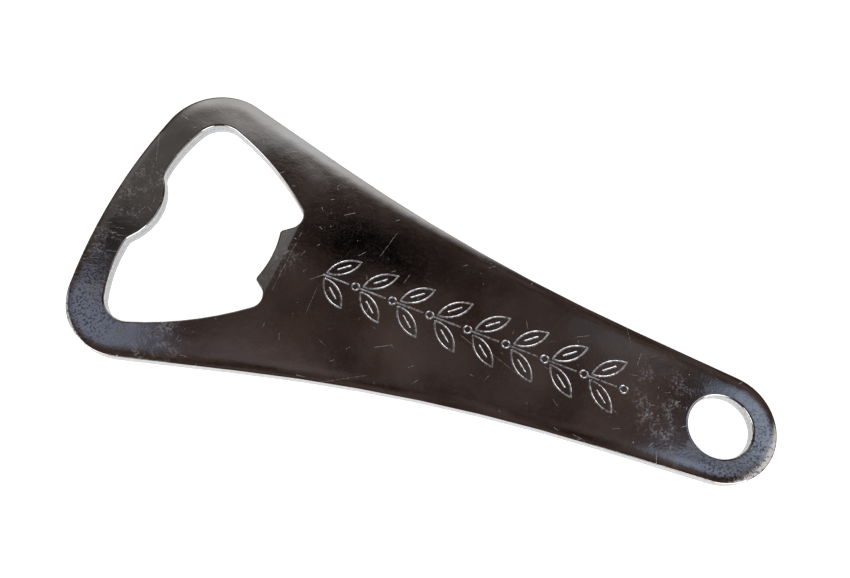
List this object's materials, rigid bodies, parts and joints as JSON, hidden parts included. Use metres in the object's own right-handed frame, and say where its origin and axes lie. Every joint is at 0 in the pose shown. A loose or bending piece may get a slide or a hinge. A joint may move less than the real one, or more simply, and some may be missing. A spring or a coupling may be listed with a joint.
{
  "type": "flat bottle opener",
  "caption": "Flat one-piece souvenir bottle opener: wide head with a cap opening and bent lifting tongue, tapering handle with an engraved leaf band and a hanging hole.",
  "frame": {"origin": "bottom centre of the part's box: the middle of its length and width, at the height of the lowest edge of the bent tongue", "axes": "+X along the handle from the head to the hanging hole, +Y across the handle, +Z out of the engraved face"},
  "size_m": [0.12, 0.0532, 0.0027],
  "materials": {
    "chrome_plate": "bright plated, buffed, lightly scratched"
  },
  "bodies": {
    "root": {"opener_blade": "chrome_plate"}
  },
  "joints": []
}
